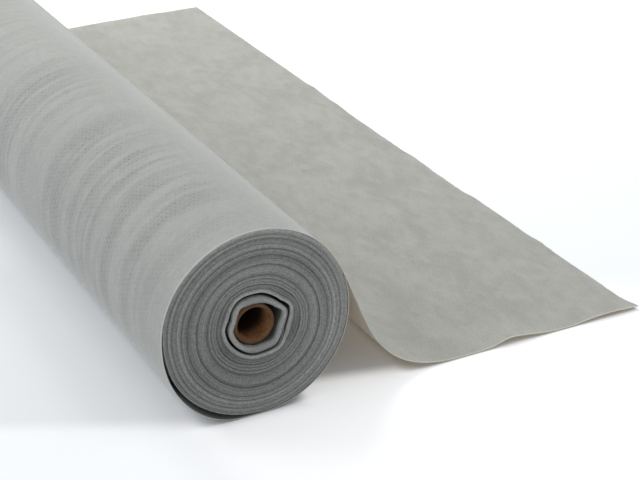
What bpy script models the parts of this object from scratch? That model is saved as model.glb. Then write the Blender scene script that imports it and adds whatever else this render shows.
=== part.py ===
"""A roll of landscape fabric lying on the floor, with its free end drawn out to the right.

X points to the free end, Y runs along the roll and Z is up. The origin is on the floor, under the
middle of the roll's axis. All lengths are in metres and all angles in degrees.
"""

import math

import bmesh
import bpy
import numpy as np

# Roll
ROLL_LENGTH = 0.914  # width of the sheet, from end face to end face
WINDING_RADIUS = 0.0735  # outside of the tight winding
TURN_COUNT = 24  # each modelled turn stands for four or five of the real ones
TURN_GAP = 0.0008  # air between neighbouring turns of the winding
POINTS_PER_TURN = 32
WINDING_END_ANGLE = -90  # the winding passes into the loose outer turn under the roll

# Inner turns, which stand off the tube in a bundle with corners
BUNDLE_TURNS = 2  # turns that lie close together round the tube
BUNDLE_GAP = 0.0013  # dark gap round that bundle
CORNER_FADE_SHARE = 0.64  # how much of the corners is left outside the gap
ROUND_AFTER_TURNS = 16  # turns after which the winding is round
INNER_REACH_SHARES = (  # angle, reach of the innermost turn as a share of the tube's radius
    (13, 1.36),
    (50, 1.09),
    (86, 1.05),
    (127, 1.27),
    (160, 1.07),
    (183, 1.21),
    (212, 1.105),
    (237, 1.115),
    (262, 1.08),
    (288, 1.12),
    (309, 1.26),
    (335, 1.12),
)

# Core tube
CORE_DIAMETER = 0.032
CORE_WALL = 0.0025
CORE_RECESS = 0.003  # each end lies this far inside the roll's end face
CORE_SEAT = 0.0003  # clearance where the tube bears on the innermost turn
CORE_BEARS_AT_ANGLE = 220
CORE_POINTS = 48

# Sheet outside the winding
SHEET_THICKNESS = 0.001
WRAP_CLEARANCE = 0.0004  # between the winding and the turn that lies round it
JOINT_SLIT = 0.0003  # where one stretch of the sheet passes into the next
ARC_STEP = 5
CURVE_STEPS = 14

# Loose outer turn: its shares are of the roll's outer radius
UNDERLAP = 0.010  # the turn starts this far past the axis, under the roll
LOOSE_FROM_ANGLE = 172
LOOSE_UPPER_HANDLE_SHARE = 0.62
LOOSE_FLOOR_HANDLE_SHARE = 0.48
LOOSE_TOUCH_SHARE = 0.19

# Drop to the floor: its shares are of the roll's outer radius
LEAVE_ANGLE = 31
DROP_UPPER_HANDLE_SHARE = 0.705
DROP_FLOOR_HANDLE_SHARE = 1.17
DROP_TOUCH_SHARE = 2.31

# Free end on the floor
TAIL_LENGTH = 0.168
RIPPLE_HEIGHT = 0.002
RIPPLES_ALONG = 2
RIPPLES_ACROSS = 3
TAIL_STEPS = 16
TAIL_ROWS = 30

FABRIC_COLOUR = (0.36, 0.365, 0.362, 1.0)
WOUND_COLOUR = (0.17, 0.178, 0.17, 1.0)
CARDBOARD_COLOUR = (0.19, 0.095, 0.048, 1.0)

ROLL_RADIUS = WINDING_RADIUS + WRAP_CLEARANCE + SHEET_THICKNESS
SHEET_RADIUS = ROLL_RADIUS - SHEET_THICKNESS / 2
CORE_RADIUS = CORE_DIAMETER / 2
AXIS_HEIGHT = SHEET_THICKNESS + WRAP_CLEARANCE + WINDING_RADIUS


def on_circle(radius, angle):
    """A point (x, z) at this angle about the roll's axis."""
    turn = math.radians(angle)
    return np.array((radius * math.cos(turn), AXIS_HEIGHT + radius * math.sin(turn)))


def along_wrap(angle):
    """The direction (x, z) in which the sheet runs over the roll towards its free end."""
    turn = math.radians(angle)
    return np.array((math.sin(turn), -math.cos(turn)))


def bezier(start, start_handle, end_handle, end):
    """CURVE_STEPS stretches of one cubic curve, as points (x, z)."""
    share = np.linspace(0, 1, CURVE_STEPS + 1)[:, None]
    rest = 1 - share
    return (
        rest**3 * start
        + 3 * rest**2 * share * start_handle
        + 3 * rest * share**2 * end_handle
        + share**3 * end
    )


def smooth_step(value):
    """0 up to 0, 1 from 1 on, and smooth between."""
    held = np.clip(value, 0, 1)
    return held * held * (3 - 2 * held)


def inner_reach(angle):
    """The innermost turn's reach at this angle, smooth through the corners."""
    corners = sorted(INNER_REACH_SHARES)
    reaches = [share * CORE_RADIUS for _, share in corners]
    places = [place for place, _ in corners]
    around = np.asarray(angle) % 360
    before = (np.searchsorted(places, around, side="right") - 1) % len(places)
    after = (before + 1) % len(places)
    places, reaches = np.array(places), np.array(reaches)
    span = (places[after] - places[before]) % 360
    share = ((around - places[before]) % 360) / span
    eased = share + (smooth_step(share) - share) / 2
    return reaches[before] * (1 - eased) + reaches[after] * eased


def winding_faces():
    """The inner and outer face of the wound strip, as points (x, z) from the inner end outwards."""
    steps = TURN_COUNT * POINTS_PER_TURN
    turns = np.arange(steps + 1) / POINTS_PER_TURN
    angles = WINDING_END_ANGLE + 360 * (TURN_COUNT - turns)
    whole_circle = np.arange(POINTS_PER_TURN) * 360 / POINTS_PER_TURN
    mean_reach = inner_reach(whole_circle).mean()
    pitch = (WINDING_RADIUS - mean_reach - BUNDLE_GAP + TURN_GAP) / (TURN_COUNT + 1)
    past_bundle = smooth_step(turns - BUNDLE_TURNS + 1)
    rounding = np.clip((turns - BUNDLE_TURNS) / (ROUND_AFTER_TURNS - BUNDLE_TURNS), 0, 1)
    corners_left = (1 - (1 - CORNER_FADE_SHARE) * past_bundle) * (1 - rounding)
    corners = (inner_reach(angles) - mean_reach) * corners_left
    inner = mean_reach + pitch * turns + BUNDLE_GAP * past_bundle + corners
    outer = inner + pitch - TURN_GAP
    radians = np.radians(angles)
    direction = np.stack((np.cos(radians), np.sin(radians)), axis=1)
    centre = np.array((0, AXIS_HEIGHT))
    return centre + inner[:, None] * direction, centre + outer[:, None] * direction


def least_gap(inner, outer):
    """The least distance from the strip's outer face to its inner face one turn further out."""
    least = WINDING_RADIUS
    for index in range(len(outer) - POINTS_PER_TURN):
        first = index + POINTS_PER_TURN // 2
        starts = inner[first : index + 3 * POINTS_PER_TURN // 2]
        ends = inner[first + 1 : index + 3 * POINTS_PER_TURN // 2 + 1]
        starts = starts[: len(ends)]
        runs = ends - starts
        shares = ((outer[index] - starts) * runs).sum(axis=1) / (runs * runs).sum(axis=1)
        nearest = starts + np.clip(shares, 0, 1)[:, None] * runs
        least = min(least, np.linalg.norm(nearest - outer[index], axis=1).min())
    return least


def core_centre(inner):
    """Where the tube's axis comes to lie (x, z), with the tube bearing on the innermost turn."""
    first_turn = inner[: POINTS_PER_TURN + 1]
    halfway = (first_turn[1:] + first_turn[:-1]) / 2
    offsets = np.concatenate((first_turn, halfway)) - (0, AXIS_HEIGHT)
    turn = math.radians(CORE_BEARS_AT_ANGLE)
    towards = np.array((math.cos(turn), math.sin(turn)))
    ahead = offsets @ towards
    beside = offsets @ np.array((-towards[1], towards[0]))
    reach = CORE_RADIUS + CORE_SEAT
    in_the_way = (np.abs(beside) < reach) & (ahead > 0)
    travel = ahead[in_the_way] - np.sqrt(reach**2 - beside[in_the_way] ** 2)
    return np.array((0, AXIS_HEIGHT)) + travel.min() * towards


def two_faces(middle):
    """The lower and upper face of a sheet of SHEET_THICKNESS on this middle line."""
    runs = np.gradient(middle, axis=0)
    runs /= np.linalg.norm(runs, axis=1)[:, None]
    aside = np.stack((-runs[:, 1], runs[:, 0]), axis=1) * SHEET_THICKNESS / 2
    return middle - aside, middle + aside


def outer_turn_line():
    """The middle line of the loose turn, from under the roll round its left side to the leaving line."""
    floor_middle = SHEET_THICKNESS / 2
    start = np.array((UNDERLAP, floor_middle))
    touch = np.array((-LOOSE_TOUCH_SHARE * ROLL_RADIUS, floor_middle))
    upper = on_circle(SHEET_RADIUS, LOOSE_FROM_ANGLE)
    loose = bezier(
        touch,
        touch - (LOOSE_FLOOR_HANDLE_SHARE * ROLL_RADIUS, 0),
        upper - LOOSE_UPPER_HANDLE_SHARE * ROLL_RADIUS * along_wrap(LOOSE_FROM_ANGLE),
        upper,
    )
    last_angle = LEAVE_ANGLE + math.degrees(JOINT_SLIT / 2 / SHEET_RADIUS)
    steps = round((LOOSE_FROM_ANGLE - last_angle) / ARC_STEP)
    angles = np.linspace(LOOSE_FROM_ANGLE, last_angle, steps + 1)[1:]
    arc = [on_circle(SHEET_RADIUS, angle) for angle in angles]
    return np.vstack((start, loose, arc))


def drop_line():
    """The middle line of the stretch that falls from the roll to the floor."""
    leave = on_circle(SHEET_RADIUS, LEAVE_ANGLE) + along_wrap(LEAVE_ANGLE) * JOINT_SLIT / 2
    touch = np.array((DROP_TOUCH_SHARE * ROLL_RADIUS - JOINT_SLIT / 2, SHEET_THICKNESS / 2))
    return bezier(
        leave,
        leave + DROP_UPPER_HANDLE_SHARE * ROLL_RADIUS * along_wrap(LEAVE_ANGLE),
        touch - (DROP_FLOOR_HANDLE_SHARE * ROLL_RADIUS, 0),
        touch,
    )


def material(name, colour, roughness):
    """A plain Principled finish."""
    finish = bpy.data.materials.new(name)
    finish.use_nodes = True
    shader = finish.node_tree.nodes["Principled BSDF"]
    shader.inputs["Base Color"].default_value = colour
    shader.inputs["Roughness"].default_value = roughness
    shader.inputs["Metallic"].default_value = 0
    finish.diffuse_color = colour
    return finish


def empty(name, place, parent=None):
    """A joint's axis: an empty at a place in the world."""
    axis = bpy.data.objects.new(name, None)
    bpy.context.collection.objects.link(axis)
    axis.location = place
    if parent:
        axis.parent = parent
        axis.location = axis.location - parent.matrix_world.translation
    bpy.context.view_layer.update()
    return axis


def piece(name, shape, finish, parent=None, smooth_below=40):
    """Makes an object of a bmesh in world coordinates, with its origin on its parent's axis."""
    if parent:
        bmesh.ops.translate(shape, verts=shape.verts, vec=-parent.matrix_world.translation)
    bmesh.ops.recalc_face_normals(shape, faces=shape.faces)
    mesh = bpy.data.meshes.new(name)
    shape.to_mesh(mesh)
    shape.free()
    mesh.shade_smooth()
    mesh.set_sharp_from_angle(angle=math.radians(smooth_below))
    mesh.materials.append(finish)
    made = bpy.data.objects.new(name, mesh)
    bpy.context.collection.objects.link(made)
    made.parent = parent
    return made


def extruded_strip(inner, outer):
    """A closed strip between two lines (x, z), as long as the roll."""
    shape = bmesh.new()
    near = -ROLL_LENGTH / 2
    pairs = [
        (shape.verts.new((a[0], near, a[1])), shape.verts.new((b[0], near, b[1])))
        for a, b in zip(inner, outer)
    ]
    for (a, b), (c, d) in zip(pairs, pairs[1:]):
        shape.faces.new((a, b, d, c))
    made = bmesh.ops.extrude_face_region(shape, geom=shape.faces[:])
    far_end = [item for item in made["geom"] if isinstance(item, bmesh.types.BMVert)]
    bmesh.ops.translate(shape, verts=far_end, vec=(0, ROLL_LENGTH, 0))
    return shape


def tube(centre):
    """The core tube, turned from two circles."""
    shape = bmesh.new()
    rings = []
    for radius in (CORE_RADIUS, CORE_RADIUS - CORE_WALL):
        made = bmesh.ops.create_circle(shape, segments=CORE_POINTS, radius=radius)
        rings += list({edge for vert in made["verts"] for edge in vert.link_edges})
    bmesh.ops.bridge_loops(shape, edges=rings)
    length = ROLL_LENGTH - 2 * CORE_RECESS
    made = bmesh.ops.extrude_face_region(shape, geom=shape.faces[:])
    far_end = [item for item in made["geom"] if isinstance(item, bmesh.types.BMVert)]
    bmesh.ops.translate(shape, verts=far_end, vec=(0, 0, length))
    for vert in shape.verts:
        vert.co = (vert.co.x + centre[0], length / 2 - vert.co.z, vert.co.y + centre[1])
    return shape


def tail_sheet(start):
    """The free end on the floor, with low ripples that fade at its hinge line and its cut end."""
    shape = bmesh.new()
    bmesh.ops.create_grid(shape, x_segments=TAIL_STEPS, y_segments=TAIL_ROWS, size=1 / 2)
    for vert in shape.verts:
        along = vert.co.x + 1 / 2
        across = vert.co.y + 1 / 2
        ripple = math.sin(math.pi * RIPPLES_ALONG * along) ** 2
        swell = math.cos(math.pi * RIPPLES_ACROSS * across) ** 2
        lift = RIPPLE_HEIGHT * ripple * swell
        vert.co = (start + TAIL_LENGTH * along, ROLL_LENGTH * (across - 1 / 2), lift)
    return shape


def build():
    for old in list(bpy.data.objects):
        bpy.data.objects.remove(old, do_unlink=True)

    fabric = material("fabric", FABRIC_COLOUR, 0.85)
    wound_fabric = material("wound fabric", WOUND_COLOUR, 0.9)
    cardboard = material("cardboard", CARDBOARD_COLOUR, 0.8)

    leave_x, leave_z = on_circle(ROLL_RADIUS, LEAVE_ANGLE)
    touch_x = DROP_TOUCH_SHARE * ROLL_RADIUS
    roll_axis = empty("roll_axis", (0, 0, AXIS_HEIGHT))
    leaving_line = empty("leaving_line", (leave_x, 0, leave_z))
    touching_line = empty("touching_line", (touch_x, 0, SHEET_THICKNESS), leaving_line)

    inner, outer = winding_faces()
    print(f"least gap between turns of the winding: {1000 * least_gap(inner, outer):.2f} mm")
    core_x, core_z = core_centre(inner)
    print(f"core tube centre: x {1000 * core_x:.2f} mm, z {1000 * core_z:.2f} mm")

    piece("fabric_winding", extruded_strip(inner, outer), wound_fabric, roll_axis)
    piece("core_tube", tube((core_x, core_z)), cardboard, roll_axis)
    piece("loose_outer_turn", extruded_strip(*two_faces(outer_turn_line())), fabric)
    piece("fabric_drop", extruded_strip(*two_faces(drop_line())), fabric, leaving_line)
    tail = piece("fabric_tail", tail_sheet(touch_x + JOINT_SLIT / 2), fabric, touching_line)
    body = tail.modifiers.new("thickness", "SOLIDIFY")
    body.thickness = SHEET_THICKNESS
    body.offset = 1
    body.use_even_offset = True


build()
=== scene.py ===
# %% [markdown]
# A roll of landscape fabric lies on the floor. The sheet is a grey nonwoven web: plastic fibres laid
# at random and pressed together in rows of small dots. About a hundred turns of it sit on a cardboard
# tube, one loose turn sags away from the roll, and the free end drops to the floor and lies flat.
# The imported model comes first, because it fixes where every piece is and what it moves with.

import math

import bmesh
import bpy
import numpy as np
from mathutils import Matrix, Vector, noise


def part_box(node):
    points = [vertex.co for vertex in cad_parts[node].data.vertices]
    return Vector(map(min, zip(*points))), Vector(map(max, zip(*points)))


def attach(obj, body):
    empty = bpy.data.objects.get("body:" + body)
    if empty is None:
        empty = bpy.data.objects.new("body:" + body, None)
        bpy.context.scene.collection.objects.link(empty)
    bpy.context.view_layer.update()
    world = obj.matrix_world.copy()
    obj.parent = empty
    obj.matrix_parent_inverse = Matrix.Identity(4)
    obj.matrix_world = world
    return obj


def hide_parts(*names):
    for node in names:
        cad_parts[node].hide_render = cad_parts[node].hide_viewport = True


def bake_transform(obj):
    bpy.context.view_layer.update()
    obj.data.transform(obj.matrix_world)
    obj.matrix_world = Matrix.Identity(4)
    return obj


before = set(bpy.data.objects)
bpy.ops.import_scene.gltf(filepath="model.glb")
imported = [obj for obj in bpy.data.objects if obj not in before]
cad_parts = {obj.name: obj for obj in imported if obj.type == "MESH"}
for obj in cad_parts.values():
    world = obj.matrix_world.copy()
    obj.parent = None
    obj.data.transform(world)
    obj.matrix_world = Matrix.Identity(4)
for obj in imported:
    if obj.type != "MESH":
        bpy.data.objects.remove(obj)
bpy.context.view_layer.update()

# %% [markdown]
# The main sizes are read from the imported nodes, so that the dressed pieces land on them. The turn
# that lies round the roll gives the roll's radius and the height of its axis, and the tube gives its
# own centre.

# %% Main sizes
turn_low, turn_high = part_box("loose_outer_turn")
tail_low, tail_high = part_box("fabric_tail")
tube_low, tube_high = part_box("core_tube")

WIDTH = turn_high.y - turn_low.y  # width of the sheet, from end face to end face
HALF_WIDTH = WIDTH / 2
ROLL_RADIUS = turn_high.z / 2  # the floor is at 0 and the roll rests on it
AXIS = np.array((0.0, ROLL_RADIUS))  # x and z of the roll's axis
SHEET = 0.0006  # thickness of the sheet that shows
TOUCH_X = tail_low.x  # where the drop has come down to the floor
END_X = tail_high.x  # the cut end
print(f"roll radius {1000 * ROLL_RADIUS:.2f} mm, sheet {1000 * WIDTH:.0f} mm wide")

# %% [markdown]
# The camera stands to the left of the near end and looks down along the roll. Its place and lens
# come from the ellipse of the end face, the two long outlines of the roll and the cut end, which
# together fix one view.

# %% Camera
CAMERA_PLACE = (-0.44177, -1.44974, 0.66671)
CAMERA_YAW = -0.46134
CAMERA_PITCH = 0.45037
CAMERA_ROLL = -0.018707
CAMERA_LENS = 96.07  # millimetres, for a film 36 mm wide

lens = bpy.data.cameras.new("camera")
lens.lens = CAMERA_LENS
lens.sensor_width = 36
lens.clip_start = 0.05
lens.clip_end = 100
camera = bpy.data.objects.new("camera", lens)
bpy.context.scene.collection.objects.link(camera)
turned = (
    Matrix.Rotation(CAMERA_YAW, 4, "Z")
    @ Matrix.Rotation(math.pi / 2 - CAMERA_PITCH, 4, "X")
    @ Matrix.Rotation(CAMERA_ROLL, 4, "Z")
)
camera.matrix_world = Matrix.Translation(CAMERA_PLACE) @ turned
bpy.context.scene.camera = camera
bpy.context.scene.view_settings.view_transform = "Standard"
print("camera looks along", [round(x, 3) for x in turned @ Vector((0, 0, -1))])

# %% [markdown]
# A material is a chain of nodes. This small class keeps such a chain short to write: it adds nodes
# with their settings, links a socket or sets its value, and has names for the few steps that every
# finish here is made of.

# %% Node helpers
class Chain:
    """Adds nodes to one node tree."""

    def __init__(self, tree):
        self.tree = tree

    def node(self, kind, inputs=None, **settings):
        made = self.tree.nodes.new(kind)
        for name, value in settings.items():
            setattr(made, name, value)
        for name, value in (inputs or {}).items():
            self.feed(made.inputs[name], value)
        return made

    def feed(self, socket, value):
        if isinstance(value, bpy.types.NodeSocket):
            self.tree.links.new(value, socket)
        else:
            socket.default_value = value

    def math(self, operation, *values):
        made = self.tree.nodes.new("ShaderNodeMath")
        made.operation = operation
        for socket, value in zip(made.inputs, values):
            self.feed(socket, value)
        return made.outputs[0]

    def span(self, value, low, high, to_low=0.0, to_high=1.0):
        """value from low to high becomes to_low to to_high, smoothly and no further."""
        made = self.node(
            "ShaderNodeMapRange",
            {"Value": value, "From Min": low, "From Max": high, "To Min": to_low, "To Max": to_high},
            interpolation_type="SMOOTHSTEP",
        )
        return made.outputs["Result"]

    def vector(self, operation, first, second):
        return self.node("ShaderNodeVectorMath", {0: first, 1: second}, operation=operation).outputs

    def product(self, first, *others):
        for other in others:
            first = self.math("MULTIPLY", first, other)
        return first

    def rest(self, share):
        return self.math("SUBTRACT", 1.0, share)

    def noise(self, place, scale=1.0, detail=3.0, roughness=0.5):
        made = self.node(
            "ShaderNodeTexNoise",
            {"Vector": place, "Scale": scale, "Detail": detail, "Roughness": roughness},
        )
        return made.outputs["Fac"]

    def turned(self, place, angle, stretch):
        """A place turned in its plane and stretched, for patterns that run one way."""
        made = self.node(
            "ShaderNodeMapping", {"Vector": place, "Rotation": (0, 0, angle), "Scale": stretch}
        )
        return made.outputs["Vector"]

    def parts(self, place):
        return self.node("ShaderNodeSeparateXYZ", {"Vector": place}).outputs

    def attribute(self, name):
        return self.node("ShaderNodeAttribute", attribute_name=name).outputs["Fac"]

    def mix(self, share, first, second, blend="MIX"):
        made = self.node("ShaderNodeMix", data_type="RGBA", blend_type=blend)
        self.feed(made.inputs[0], share)
        self.feed(made.inputs[6], first)
        self.feed(made.inputs[7], second)
        return made.outputs[2]

    def group(self, tree, **inputs):
        made = self.node("ShaderNodeGroup", node_tree=tree)
        for name, value in inputs.items():
            self.feed(made.inputs[name.replace("_", " ")], value)
        return made.outputs

    def relief(self, height, strength):
        made = self.node("ShaderNodeBump", {"Height": height, "Distance": 1.0, "Strength": strength})
        return made.outputs["Normal"]


def new_group(name, inputs, outputs):
    """An empty shader node group: its tree, its chain, its input sockets and its output sockets."""
    tree = bpy.data.node_groups.new(name, "ShaderNodeTree")
    for label, kind, value in inputs:
        socket = tree.interface.new_socket(label, in_out="INPUT", socket_type=kind)
        if value is not None:
            socket.default_value = value
    for label in outputs:
        tree.interface.new_socket(label, in_out="OUTPUT", socket_type="NodeSocketFloat")
    taken = tree.nodes.new("NodeGroupInput").outputs
    given = tree.nodes.new("NodeGroupOutput").inputs
    return tree, Chain(tree), taken, given


def new_finish(name, settings):
    """A material with its chain and its Principled shader, which gets these settings."""
    made = bpy.data.materials.new(name)
    made.use_nodes = True
    chain = Chain(made.node_tree)
    shader = made.node_tree.nodes["Principled BSDF"]
    for label, value in settings.items():
        chain.feed(shader.inputs[label], value)
    return made, chain, shader


print("steps of a chain:", [name for name in dir(Chain) if not name.startswith("_")])

# %% [markdown]
# The web of fibres is noise stretched into short streaks, laid in three directions, with the
# strongest streak kept at each place. Softer noise beside it gives the clouds, where more or fewer
# fibres fell when the sheet was made. The clouds are longer along the roll than across it.

# %% Group: fibre web
FIBRE_DIRECTIONS = (0.8, 1.5, 1.9)  # radians
FIBRE_STRETCH = (160.0, 900.0, 1.0)
SMALL_CLOUDS = (95.0, 45.0, 1.0)
LARGE_CLOUDS = (30.0, 15.0, 1.0)
LARGE_CLOUDS_TURNED = 0.3  # radians
SMALL_SHARE = 0.6

web_group, chain, taken, given = new_group(
    "fibre web", [("Place", "NodeSocketVector", None)], ("Fibres", "Clouds")
)
streaks = [
    chain.noise(chain.turned(taken["Place"], angle, FIBRE_STRETCH), detail=2.0)
    for angle in FIBRE_DIRECTIONS
]
strongest = chain.math("MAXIMUM", chain.math("MAXIMUM", streaks[0], streaks[1]), streaks[2])
chain.feed(given["Fibres"], chain.span(strongest, 0.5, 0.72))
small_place = chain.turned(taken["Place"], 0.0, SMALL_CLOUDS)
large_place = chain.turned(taken["Place"], LARGE_CLOUDS_TURNED, LARGE_CLOUDS)
small_clouds = chain.noise(small_place, detail=4.0, roughness=0.65)
large_clouds = chain.product(chain.noise(large_place, detail=2.0), 1 - SMALL_SHARE)
clouds = chain.math("MULTIPLY_ADD", small_clouds, SMALL_SHARE, large_clouds)
chain.feed(given["Clouds"], chain.span(clouds, 0.36, 0.64))
print("group made:", web_group.name)

# %% [markdown]
# The rows of pressed dots hold the fibres together. Every second row is moved by half a step, so
# the dots form diamonds. The group measures how far each place is from the nearest dot, and a
# coarser noise lets some of the dots press deeper than others.

# %% Group: pressed dots
DOT_STEP = 0.0040  # along the sheet
DOT_ROW_STEP = 0.0043  # across the sheet, from row to row
DOT_RADIUS = 0.0010
DOT_WANDER = 0.0012  # how far a row strays from a straight line

dots_group, chain, taken, given = new_group(
    "pressed dots",
    [
        ("Place", "NodeSocketVector", None),
        ("Step", "NodeSocketFloat", DOT_STEP),
        ("Row step", "NodeSocketFloat", DOT_ROW_STEP),
        ("Radius", "NodeSocketFloat", DOT_RADIUS),
    ],
    ("Dots",),
)
stray = chain.math("SUBTRACT", chain.noise(taken["Place"], scale=90.0, detail=1.0), 0.5)
parts = chain.parts(taken["Place"])
strayed = chain.math("MULTIPLY_ADD", stray, DOT_WANDER, parts["Y"])
across = chain.math("DIVIDE", strayed, taken["Row step"])
half_step = chain.product(chain.math("MODULO", chain.math("FLOOR", across), 2.0), 0.5)
along = chain.math("ADD", chain.math("DIVIDE", parts["X"], taken["Step"]), half_step)
off_along = chain.math("SUBTRACT", chain.math("FRACT", along), 0.5)
off_across = chain.math("SUBTRACT", chain.math("FRACT", across), 0.5)
squares = chain.math(
    "ADD",
    chain.math("POWER", chain.product(off_along, taken["Step"]), 2.0),
    chain.math("POWER", chain.product(off_across, taken["Row step"]), 2.0),
)
nearness = chain.span(chain.math("DIVIDE", chain.math("SQRT", squares), taken["Radius"]), 1.5, 0.3)
uneven = chain.noise(taken["Place"], scale=210.0, detail=2.0)
depth = chain.span(uneven, 0.38, 0.62, to_low=0.15)
chain.feed(given["Dots"], chain.product(nearness, depth))
print("group made:", dots_group.name)

# %% [markdown]
# A cut edge is paler than the sheet, because the fibres' ends stick out there and catch the light.
# The group turns the distance from the edge into a ragged mask.

# %% Group: pale cut edge
EDGE_WIDTH = 0.0014

edge_group, chain, taken, given = new_group(
    "pale cut edge",
    [("Place", "NodeSocketVector", None), ("Half width", "NodeSocketFloat", HALF_WIDTH)],
    ("Edge",),
)
off_middle = chain.math("ABSOLUTE", chain.parts(taken["Place"])["Y"])
inside = chain.math("SUBTRACT", taken["Half width"], off_middle)
ragged = chain.noise(taken["Place"], scale=900.0, detail=2.0)
ragged = chain.product(ragged, EDGE_WIDTH)
chain.feed(given["Edge"], chain.span(chain.math("SUBTRACT", inside, ragged), EDGE_WIDTH / 2, 0.0))
print("group made:", edge_group.name)

# %% [markdown]
# The sheet's finish reads the sheet's own UV map, which holds metres along and across the cloth, so
# the pattern bends with it. Three attributes of each point change it from place to place: how strong
# the tension is, where the bands run that tension draws into the web, and whether the sheet is free
# of the roll. First comes the colour of the web itself. Its clouds show more where it is free. Where
# it lies on the roll, a painted shade makes it darker, and more painted shade darkens the side that
# faces the axis, where other turns shade it.

# %% Finish of the sheet: the web
SHEET_COLOUR = (0.563, 0.592, 0.580, 1.0)
SHEET_DARK = (0.459, 0.484, 0.473, 1.0)
SHEET_MEAN = (0.511, 0.538, 0.527, 1.0)
SHEET_PALE = (0.72, 0.757, 0.742, 1.0)
EDGE_PALE = (0.78, 0.82, 0.80, 1.0)
ROLL_SHADE = (0.77, 0.735, 0.715, 1.0)  # painted shade: multiplies the colour where other turns lie behind the sheet
INWARD_SHADE = (0.44, 0.44, 0.42, 1.0)  # more painted shade, on the side that faces the roll's axis
INWARD_SPAN = (-0.005, -0.03)  # from where to where it sets in, in metres from the axis
CLOUDS_WHERE_BACKED = 0.3  # share of the clouds that is left there
FIBRE_SHARE = 0.28  # how far a fibre goes towards the pale colour
EDGE_SHARE = 0.72  # how far a cut edge goes towards its own pale colour

sheet_material, chain, shader = new_finish(
    "sheet", {"Specular IOR Level": 0.25, "Sheen Weight": 0.55, "Sheen Roughness": 0.3}
)
place = chain.node("ShaderNodeUVMap", uv_map="cloth").outputs["UV"]
web = chain.group(web_group, Place=place)
edge = chain.group(edge_group, Place=place)["Edge"]
free = chain.attribute("free")
clouded = chain.mix(web["Clouds"], SHEET_DARK, SHEET_COLOUR)
evened = chain.mix(chain.span(free, 0.0, 1.0, to_low=CLOUDS_WHERE_BACKED), SHEET_MEAN, clouded)
lit = chain.mix(chain.product(web["Fibres"], FIBRE_SHARE), evened, SHEET_PALE)
edged = chain.mix(chain.product(edge, EDGE_SHARE), lit, EDGE_PALE)
lies = chain.span(free, 1.0, 0.0)
# Painted shade on the roll, and more on the side of each turn that faces the axis.
roll_shaded = chain.mix(lies, edged, ROLL_SHADE, "MULTIPLY")
object_place = chain.node("ShaderNodeTexCoord").outputs
from_axis = chain.vector("SUBTRACT", object_place["Object"], (0, 0, ROLL_RADIUS))["Vector"]
outward = chain.vector("DOT_PRODUCT", object_place["Normal"], from_axis)["Value"]
inward_shade = chain.product(chain.span(outward, *INWARD_SPAN), lies)
sided = chain.mix(inward_shade, roll_shaded, INWARD_SHADE, "MULTIPLY")
print("web of the sheet:", len(chain.tree.nodes), "nodes so far")

# %% [markdown]
# On the web come the bands and the dots. A band is darker, a painted shade for its dent, and the
# dots are pressed deeper along it. Fibres and dots give the relief too. A Translucent shader lets a
# little warm light through the thin web where nothing lies behind it.

# %% Finish of the sheet: bands, dots and relief
PRESSED_AND_BAND_SHADE = (0.36, 0.36, 0.36, 1.0)  # what a pressed dot and a band's painted shade multiply the colour by
# how strong the painted shade of a band is
BAND_SHADE_SHARE = 0.26
DOT_SHARE = 0.04  # of every dot, and what tension, freedom and a band add to it
DOT_SHARE_PULLED = 0.06
DOT_SHARE_FREE = 0.18
DOT_SHARE_BANDED = 0.45
DOT_DEPTH = 0.00004
DOT_DEPTH_PULLED = 0.00016
FIBRE_HEIGHT = 0.00005
THROUGH_COLOUR = (1.0, 0.86, 0.68, 1.0)
THROUGH_SHARE = 0.35
THROUGH_WHERE_BACKED = 0.02

tension = chain.attribute("tension")
pulled = chain.product(tension, chain.attribute("band"))
dots = chain.group(dots_group, Place=place)["Dots"]
# Painted shade along the bands.
band_shaded = chain.mix(chain.product(pulled, BAND_SHADE_SHARE), sided, PRESSED_AND_BAND_SHADE, "MULTIPLY")
dot_share = DOT_SHARE
for cause, more in ((tension, DOT_SHARE_PULLED), (free, DOT_SHARE_FREE), (pulled, DOT_SHARE_BANDED)):
    dot_share = chain.math("MULTIPLY_ADD", cause, more, dot_share)
dotted = chain.mix(chain.product(dots, dot_share), band_shaded, PRESSED_AND_BAND_SHADE, "MULTIPLY")
chain.feed(shader.inputs["Base Color"], dotted)
depth = chain.product(dots, chain.math("MULTIPLY_ADD", tension, -DOT_DEPTH_PULLED, -DOT_DEPTH))
height = chain.math("MULTIPLY_ADD", web["Fibres"], FIBRE_HEIGHT, depth)
chain.feed(shader.inputs["Normal"], chain.relief(height, 0.8))
chain.feed(shader.inputs["Roughness"], chain.span(web["Fibres"], 0.0, 1.0, 0.92, 0.8))
through = chain.node("ShaderNodeBsdfTranslucent", {"Color": THROUGH_COLOUR})
through_share = chain.span(free, 0.0, 1.0, THROUGH_WHERE_BACKED, THROUGH_SHARE)
both = chain.node("ShaderNodeMixShader", {"Fac": through_share})
chain.tree.links.new(shader.outputs["BSDF"], both.inputs[1])
chain.tree.links.new(through.outputs["BSDF"], both.inputs[2])
chain.tree.links.new(both.outputs["Shader"], chain.tree.nodes["Material Output"].inputs["Surface"])
print("finish made:", sheet_material.name)

# %% [markdown]
# The end of the winding shows the cut edges of all its turns. Their colours are darker than the
# sheet's, a painted shade for the light that is lost between the turns. The innermost and the
# outermost turns stand out pale, and an attribute carries the tone of each turn, painted light and
# shade included. Between the turns a painted shade makes it dark, and a second attribute leaves that
# shade off the outside of the last turn.

# %% Finish of the wound turns
# The end's colours: darker than the sheet's, a painted shade for the light lost between turns.
WOUND_DARK = (0.210, 0.212, 0.205, 1.0)
WOUND_PALE = (0.84, 0.845, 0.815, 1.0)
WOUND_OUTSIDE = (0.50, 0.51, 0.48, 1.0)
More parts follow.
